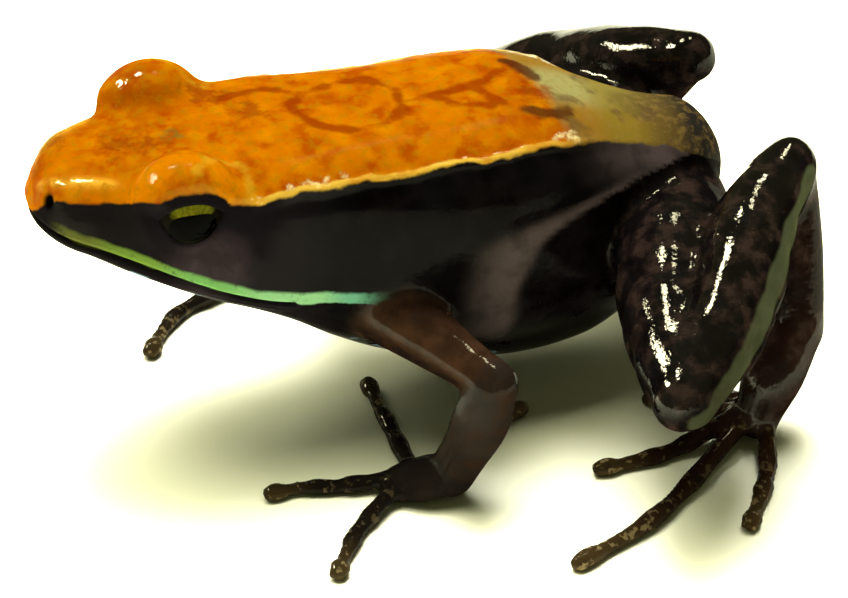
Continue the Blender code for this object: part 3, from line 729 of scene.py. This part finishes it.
# A dull grey-green band runs down the back of the shank from the heel and fades towards the knee
SHANK_BACK = np.array([(4.75, 20.6, 8.95), (5.3, 20.15, 8.5), (6.64, 19.3, 8.25), (8.16, 18.5, 7.9),
                       (9.29, 17.77, 7.45), (10.21, 17.06, 6.93), (11.1, 16.2, 6.35), (11.78, 15.33, 5.7),
                       (12.37, 14.55, 5.33)])
from_band = distance_to(one_sided(points), SHANK_BACK, 2.0)[0] + 2 * (1 - share_of["shank"])
attribute("band", from_band)
attribute("band_share", along([(5.2, 0.35), (6.6, 0.6), (8.0, 0.85), (9.0, 0.9)], z))

# How wet each part is: the legs most, the ridge, brow and lid tops in places, the rest hardly at all
brow_wet = smooth_step(0.8, 0.3, np.abs(edge - 0.55)) * smooth_step(2.0, 0.5, y)
wet = 0.01 + 0.45 * brow_wet * smooth_step(-4.55, -4.1, y)
wet += 0.35 * smooth_step(0.25, 0.1, np.abs(edge - 0.25)) + np.where(edge < 0, 0.05, 0) + 0.4 * warts
wet += 0.42 * share_of["thigh"] + np.where(x > 0, 0.75, 0.42) * share_of["shank"]
wet += 0.12 * share_of["ankle"] + 0.4 * share_of["sole"] + 0.25 * digit
wet += 0.3 * share_of["upper_arm"] + 0.15 * share_of["forearm"]
wet += 0.3 * share_of["body"] * smooth_step(4.5, 3.5, z)
lid_tops = 0.3 * spot((3.3, -0.6, 11.2), 1.4) + 1.6 * spot((-2.41, -0.85, 11.36), 1.1)
from_eye = from_nearest(points, EYES)
around_eye = smooth_step(*EYE_ZONE, from_eye)
lid_foot = np.exp(-(between_forms(gaps) / 0.8) ** 4) * smooth_step(3.4, 2.6, from_eye)
wet = spread(wet * (1 - around_eye) + 0.45 * lid_tops * around_eye, 2) * (1 - 0.95 * lid_foot)
# Dry: the snout's tip and nostrils, limbs where they face down, the rump, and the band
wet *= (1 - 0.9 * smooth_step(-3.8, -4.4, y)) * smooth_step(0.25, 0.6, from_nostril)
wet *= 1 - (1 - share_of["body"]) * (1 - spread(smooth_step(-0.1, 0.4, normal[:, 2]), 6))
wet *= 1 - 0.9 * smooth_step(16.4, 17.4, y) * (share_of["body"] + share_of["thigh"])
attribute("wet", wet * smooth_step(0.55, 0.9, from_band))


def nearest_line(lines, reach=1.5):
    """Distance from each point of the back to the nearest of several lines drawn on it from above."""
    flat = np.column_stack([x, y, 0 * z])
    level = [np.array([(across, down, 0.0) for across, down in line]) for line in lines]
    return np.min([distance_to(flat, line, reach)[0] for line in level], axis=0)


# Fine red-brown lines on the back: a long ring behind the shoulders, and a chain from it to the hips
RING = [(-0.58, 4.13), (-1.13, 4.76), (-1.59, 5.88), (-1.52, 7.06), (-0.54, 7.84), (0.63, 7.79),
        (1.38, 7.03), (1.49, 5.83), (0.91, 4.8), (-0.1, 4.3), (-0.58, 4.13)]
CHAIN = [(0.3, 7.84), (0.15, 8.86), (0.03, 10.25), (-0.49, 11.07), (-1.29, 11.98)]
BRANCHES = [[(0.15, 8.86), (1.0, 9.6), (1.3, 10.6)], [(-1.13, 4.76), (-1.9, 3.4), (-1.6, 2.2)],
            [(0.03, 10.25), (0.9, 10.7), (1.5, 11.2)]]
attribute("line", nearest_line([RING, CHAIN] + BRANCHES))
# Dark bars before the hips, red-brown smudges, a green tinge between the eyes, and a pale arc on the
# lid's fold, a painted highlight
BARS = [[(1.67, 11.55), (1.77, 12.0), (1.84, 12.42), (1.69, 13.1)],
        [(-1.38, 11.83), (-0.89, 12.22), (-0.35, 12.48)]]
SMUDGES = [(-1.9, 1.6, 0.9), (-0.5, 2.9, 0.8), (0.1, -1.5, 0.9), (-1.0, -3.6, 0.7), (0.6, -0.6, 0.7),
           (0.55, 12.2, 0.8)]  # across, along and radius
LID_ARC_HIGHLIGHT = np.array([(3.56, 0.31, 11.52), (2.57, 1.15, 11.25), (2.51, 1.8, 10.8), (3.31, 2.04, 10.49),
                    (3.72, 2.17, 10.08)])
attribute("bar", nearest_line(BARS))
from_smudge = [np.hypot(x - across, y - down) / size for across, down, size in SMUDGES]
attribute("smudge", np.minimum(np.min(from_smudge, axis=0), 3.0))
attribute("green", spot((0.25, 0.12, 10.8), 0.6))
attribute("arc", distance_to(one_sided(points), LID_ARC_HIGHLIGHT, 1.5)[0])


def add(tree, kind, links=(), **settings):
    """Adds a node of a kind to a tree. Links give the inputs, by name or number, a value or a socket that
    feeds them; settings are the node's own properties."""
    made = tree.nodes.new("ShaderNode" + kind)
    for name, setting in settings.items():
        setattr(made, name, setting)
    for name, source in dict(links).items():
        if isinstance(source, bpy.types.NodeSocket):
            tree.links.new(source, made.inputs[name])
        else:
            made.inputs[name].default_value = source
    return made


def material(name, **numbers):
    """A Principled material and its tree, its shader and its Object coordinates."""
    made = bpy.data.materials.new(name)
    made.use_nodes = True
    shader = made.node_tree.nodes["Principled BSDF"]
    for socket, number in numbers.items():
        shader.inputs[socket.replace("_", " ")].default_value = number
    return made, made.node_tree, shader, add(made.node_tree, "TexCoord").outputs["Object"]


# Moist frog skin: thin, granular and wet, so a dull body colour lies under a clear film, and only the
# film gives sharp white lights. Granules are 0.14 to 0.3 mm wide, and the wet legs shine more than the
# back.
wet_skin, tree, shader, at = material("moist_frog_skin", IOR=1.4, Coat_Roughness=0.05,
                                      Specular_IOR_Level=0.0)


def value(name):
    """A number kept on the mesh's points."""
    return add(tree, "Attribute", attribute_name=name).outputs["Fac"]


def colour(name):
    """A colour kept on the mesh's points."""
    return add(tree, "Attribute", attribute_name=name).outputs["Color"]


def noise(size_mm, detail=2.0, roughness=0.5):
    """Noise whose lumps are about size_mm across, from 0 to 1."""
    return add(tree, "TexNoise", {"Vector": at, "Scale": 1 / (size_mm * MM), "Detail": detail,
                                  "Roughness": roughness}).outputs["Fac"]


def ramp(source, low, high, bottom=0.0, top=1.0):
    """An S-curve from bottom where the source is low to top where it is high."""
    return add(tree, "MapRange", {"Value": source, "From Min": low, "From Max": high, "To Min": bottom,
                                  "To Max": top}, interpolation_type="SMOOTHSTEP").outputs["Result"]


def worked(operation, first, second=0.0):
    """The result of an arithmetic operation on one or two numbers or sockets."""
    return add(tree, "Math", {0: first, 1: second}, operation=operation).outputs[0]


def plus(first, second):
    """The sum of two numbers or sockets."""
    return worked("ADD", first, second)


def times(first, second):
    """The product of two numbers or sockets."""
    return worked("MULTIPLY", first, second)


def ink(code):
    """A hex colour as a colour input's value."""
    return (*tone(code), 1.0)


def blend(share, first, second):
    """First colour where the share is 0 and second where it is 1."""
    return add(tree, "Mix", {0: share, 6: first, 7: second}, data_type="RGBA").outputs[2]


def covered(base, *layers):
    """A colour with hex colours blended over it one after another, each by its share."""
    for share, code in layers:
        base = blend(share, base, ink(code))
    return base


hips = value("hips")
orange = worked("SUBTRACT", 1.0, hips)
wander = ramp(noise(0.9, 3.0), 0.25, 0.75, -0.16, 0.16)
cloud = noise(1.1, 3.0)
fleck = noise(0.30, 3.0, 0.6)
ragged = ramp(noise(0.5, 3.0, 0.6), 0.3, 0.7, -0.5, 0.5)
edge_now = plus(value("edge"), times(wander, 0.45))
line_now = plus(value("line"), wander)
bar_now = plus(value("bar"), wander)
lid_arc_highlight_now = plus(value("arc"), wander)
smudge_now = plus(value("smudge"), ragged)
green_now = plus(value("green"), ragged)
wart_highlight_now = plus(value("wart"), ramp(fleck, 0.3, 0.7, -0.15, 0.15))
rim_pigment_and_highlight_share = times(value("rim"), ramp(cloud, 0.35, 0.6, 0.35, 1.0))

# The upper side: mottled orange, or mottled tan past the hips, with the marks, the pale edge line (partly
# pigment, partly painted highlight on the ridge), and painted highlights on the lid's arc and on the
# warts
back = covered(
    colour("upper_colour"),
    (times(orange, ramp(cloud, 0.42, 0.66, 0.0, 0.85)), "#9c3d00"),
    (times(orange, ramp(noise(0.6, 3.0, 0.55), 0.42, 0.74, 0.0, 0.7)), "#cd7f00"),
    (times(orange, ramp(fleck, 0.45, 0.70, 0.0, 0.5)), "#8f6208"),
    (times(hips, ramp(cloud, 0.52, 0.68, 0.0, 0.65)), "#54402a"),
    (times(hips, ramp(fleck, 0.45, 0.70, 0.0, 0.4)), "#8a6f38"),
    (ramp(line_now, 0.32, 0.02, 0.0, 0.8), "#862e02"),
    (ramp(bar_now, 0.38, 0.12, 0.0, 0.85), "#45200d"),
    (ramp(lid_arc_highlight_now, 0.30, 0.02, 0.0, 0.4), "#c9a526"),
    (ramp(smudge_now, 0.9, 0.1, 0.0, 0.55), "#7a2e06"),
    (ramp(green_now, 0.5, 1.2, 0.0, 0.5), "#5f6420"),
    (times(ramp(edge_now, 0.26, 0.14), rim_pigment_and_highlight_share), "#f0c84c"),
    (ramp(wart_highlight_now, 0.2, 0.6, 0.0, 0.85), "#ffeeb0"))

# Flanks, limbs and belly: near black, mottled brown on the limbs, with shank band, lip stripe and flecks
band_now = plus(value("band"), times(wander, 0.3))
band_share = times(times(value("band_share"), ramp(cloud, 0.35, 0.65, 0.75, 1.0)),
                   ramp(band_now, 0.50, 0.32))
lip_now = plus(value("lip"), times(wander, 0.35))
lip_share = times(times(ramp(lip_now, 0.0, 0.08), ramp(lip_now, 0.56, 0.38)),
                  times(value("lip_share"), ramp(fleck, 0.25, 0.45, 0.45, 1.0)))
flank = covered(
    colour("under_colour"),
    (ramp(cloud, 0.42, 0.68, 0.0, 0.5), "#141113"),
    (times(value("leg"), ramp(noise(0.75, 4.0, 0.6), 0.44, 0.72, 0.0, 0.85)), "#332622"),
    (band_share, "#4b503a"),
    (times(value("arm"), ramp(noise(0.6, 3.0), 0.40, 0.68, 0.0, 0.85)), "#2c1c11"),
    (times(value("digit"), ramp(noise(0.28, 2.0), 0.56, 0.66, 0.0, 0.8)), "#8d7a55"))
flank = blend(lip_share, flank, colour("stripe_colour"))
flank = covered(flank, (times(value("belly"), ramp(noise(0.8, 2.0), 0.60, 0.65)), "#7390a6"))
# The nostril pits are painted near black: painted shade inside the pits
surface = covered(blend(ramp(edge_now, -0.06, 0.06), flank, back),
                  (ramp(value("nostril"), 0.40, 0.16), "#040303"))
tree.links.new(surface, shader.inputs["Base Color"])

dullness = plus(ramp(value("leg"), 0.0, 1.0, 0.42, 0.30), ramp(edge_now, -0.1, 0.1, 0.0, 0.12))
tree.links.new(plus(dullness, ramp(fleck, 0.3, 0.7, -0.05, 0.08)), shader.inputs["Roughness"])
tree.links.new(value("wet"), shader.inputs["Coat Weight"])
grains = plus(times(fleck, 0.6), times(noise(0.14, 1.0), 0.4))
for normal_input, depth_mm in (("Normal", 0.04), ("Coat Normal", 0.02)):
    bump = add(tree, "Bump", {"Height": grains, "Distance": depth_mm * MM, "Strength": 0.9})
    tree.links.new(bump.outputs["Normal"], shader.inputs[normal_input])
skin_mesh.materials.append(wet_skin)


# Eyes
# Each eyeball is a clear wet cornea over a dark eye: the upper part of the iris is gold and the pupil
# below it is black. Only the part between the lids shows.


def eyeball(side):
    """A ball round the gaze: rings at an angle from it, with the height and the place along the lid of
    each point kept for the material."""
    rear, up = gaze_axes(side)[:2]
    verts, quads, fans = round_eye(side, (EYE_RADIUS,) * 3, rings=80, columns=96, pole=0.02)
    mesh = bpy.data.meshes.new("eye_" + side)
    mesh.from_pydata((verts * MM + FROG_ORIGIN).tolist(), [], quads.tolist() + fans.tolist())
    reach = (verts - EYE_CENTRE * SIDES[side]) / EYE_RADIUS
    for name, axis in (("rear", rear), ("height", up)):
        mesh.attributes.new(name, "FLOAT", "POINT").data.foreach_set("value", reach @ axis)
    form = bmesh.new()
    form.from_mesh(mesh)
    bmesh.ops.recalc_face_normals(form, faces=form.faces)
    form.to_mesh(mesh)
    form.free()
    mesh.shade_smooth()
    ball = in_scene("eyeball_" + side, mesh)
    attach(ball, "root")
    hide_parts("eye_" + side)
    return mesh


# Wet cornea over iris: smooth and clear, so the eye looks deep and dark, with hardly a light in it. The
# gold of the iris is broken by dark flecks, drawn at 0.16 mm.
PUPIL = (0.56, 0.37)  # half its width and half its height, in eyeball radii
PUPIL_DROP = 0.12
PUPIL_SQUARE = 2.6
cornea, tree, shader, at = material("wet_cornea", IOR=1.376, Roughness=0.06, Specular_IOR_Level=0.02)
across, upward = (worked("POWER", worked("ABSOLUTE", worked("DIVIDE", reach, half)), PUPIL_SQUARE)
                  for reach, half in zip((value("rear"), plus(value("height"), PUPIL_DROP)), PUPIL))
gold = blend(ramp(noise(0.16, 3.0, 0.6), 0.3, 0.7), ink("#4a4a0e"), ink("#7d7c1a"))
iris = blend(times(ramp(value("height"), 0.12, 0.27), ramp(across, 1.0, 0.25)), ink("#0d0b05"), gold)
inside_pupil = ramp(plus(across, upward), 0.92, 1.08)
tree.links.new(blend(inside_pupil, ink("#010101"), iris), shader.inputs["Base Color"])
for side in SIDES:
    eyeball(side).materials.append(cornea)


# Floor, light and camera
# The frog stands on white card under soft lamps high behind it and beside it. Smaller lamps show only
# as lights in its wet skin, and two lamps light only the card or only the skin. The air is pale.

FLOOR_REACH = 1.0
floor_corners = [(x * FLOOR_REACH, y * FLOOR_REACH, 0) for x, y in ((-1, -1), (1, -1), (1, 1), (-1, 1))]
floor_mesh = bpy.data.meshes.new("floor")
floor_mesh.from_pydata(floor_corners, [], [(0, 1, 2, 3)])
floor = in_scene("floor", floor_mesh)
# White card: matt and even, so it takes the frog's soft shadow and mirrors nothing
paper = material("white_paper", Base_Color=ink("#fbfaf4"), Roughness=0.6)[0]
floor_mesh.materials.append(paper)

# The camera looks down at the frog's left side from in front, and its view is 28.55 mm wide there
VIEW_TURN = math.radians(76.1)
VIEW_RISE = math.radians(34.0)
TARGET = np.array((1.42, 8.28, 3.9))
DISTANCE = 130.0
VIEW_WIDTH = 28.55
SENSOR_WIDTH = 36.0
toward = np.array((math.sin(VIEW_TURN) * math.cos(VIEW_RISE), -math.cos(VIEW_TURN) * math.cos(VIEW_RISE),
                   math.sin(VIEW_RISE)))
camera_data = bpy.data.cameras.new("camera")
camera_data.sensor_width = SENSOR_WIDTH
camera_data.lens = SENSOR_WIDTH * DISTANCE / VIEW_WIDTH
camera_data.clip_start = 0.005
camera = in_scene("camera", camera_data)
camera.location = (TARGET + toward * DISTANCE) * MM + FROG_ORIGIN
camera.rotation_euler = (math.pi / 2 - VIEW_RISE, 0, VIEW_TURN)
bpy.context.scene.camera = camera

LAMP_DISTANCE = 300
SOFT = "#ffffec"
WARM = "#fff6c8"
YELLOW = "#ffffc8"


def lamp(name, direction, size, power, tint, mirrored, only=None):
    """A square lamp that faces the frog from a direction, with a side in mm. It either shows in the wet
    skin as a light or only lights what it falls on, and it may light one object only."""
    data = bpy.data.lights.new(name, "AREA")
    data.size = size * MM
    data.energy = power
    data.color = tone(tint)
    made = in_scene(name, data)
    away = np.array(direction) / np.linalg.norm(direction)
    made.location = (TARGET + away * LAMP_DISTANCE) * MM + FROG_ORIGIN
    made.rotation_mode = "QUATERNION"
    made.rotation_quaternion = Vector(away).to_track_quat("Z", "Y")
    made.visible_glossy, made.visible_diffuse = mirrored, not mirrored
    if only is not None:
        lit = bpy.data.collections.new("lit_by_" + name)
        lit.objects.link(only)
        made.light_linking.receiver_collection = lit


lamp("window", (-0.40, 0.10, 0.911), 160, 1.15, SOFT, mirrored=False)
lamp("front_fill", (-0.242, -0.242, 0.940), 160, 0.25, SOFT, mirrored=False)
lamp("side_fill", (0.643, 0.0, 0.766), 160, 0.18, SOFT, mirrored=False, only=skin)
lamp("high_light", (-0.57, -0.20, 0.80), 44, 0.45, WARM, mirrored=True)
lamp("side_light", (-0.643, -0.58, 0.5), 28, 0.22, WARM, mirrored=True)
lamp("front_light", (-0.463, -0.637, 0.616), 60, 1.0, WARM, mirrored=True)
lamp("rear_light", (-0.505, 0.204, 0.839), 32, 0.12, WARM, mirrored=True)
lamp("paper_lamp", (-0.40, -0.12, 0.903), 340, 2.4, YELLOW, mirrored=False, only=floor)
world = bpy.data.worlds.new("studio")
world.use_nodes = True
air = world.node_tree.nodes["Background"]
air.inputs["Color"].default_value = ink("#fbffad")
air.inputs["Strength"].default_value = 0.10
bpy.context.scene.world = world
bpy.context.scene.view_settings.view_transform = "Standard"
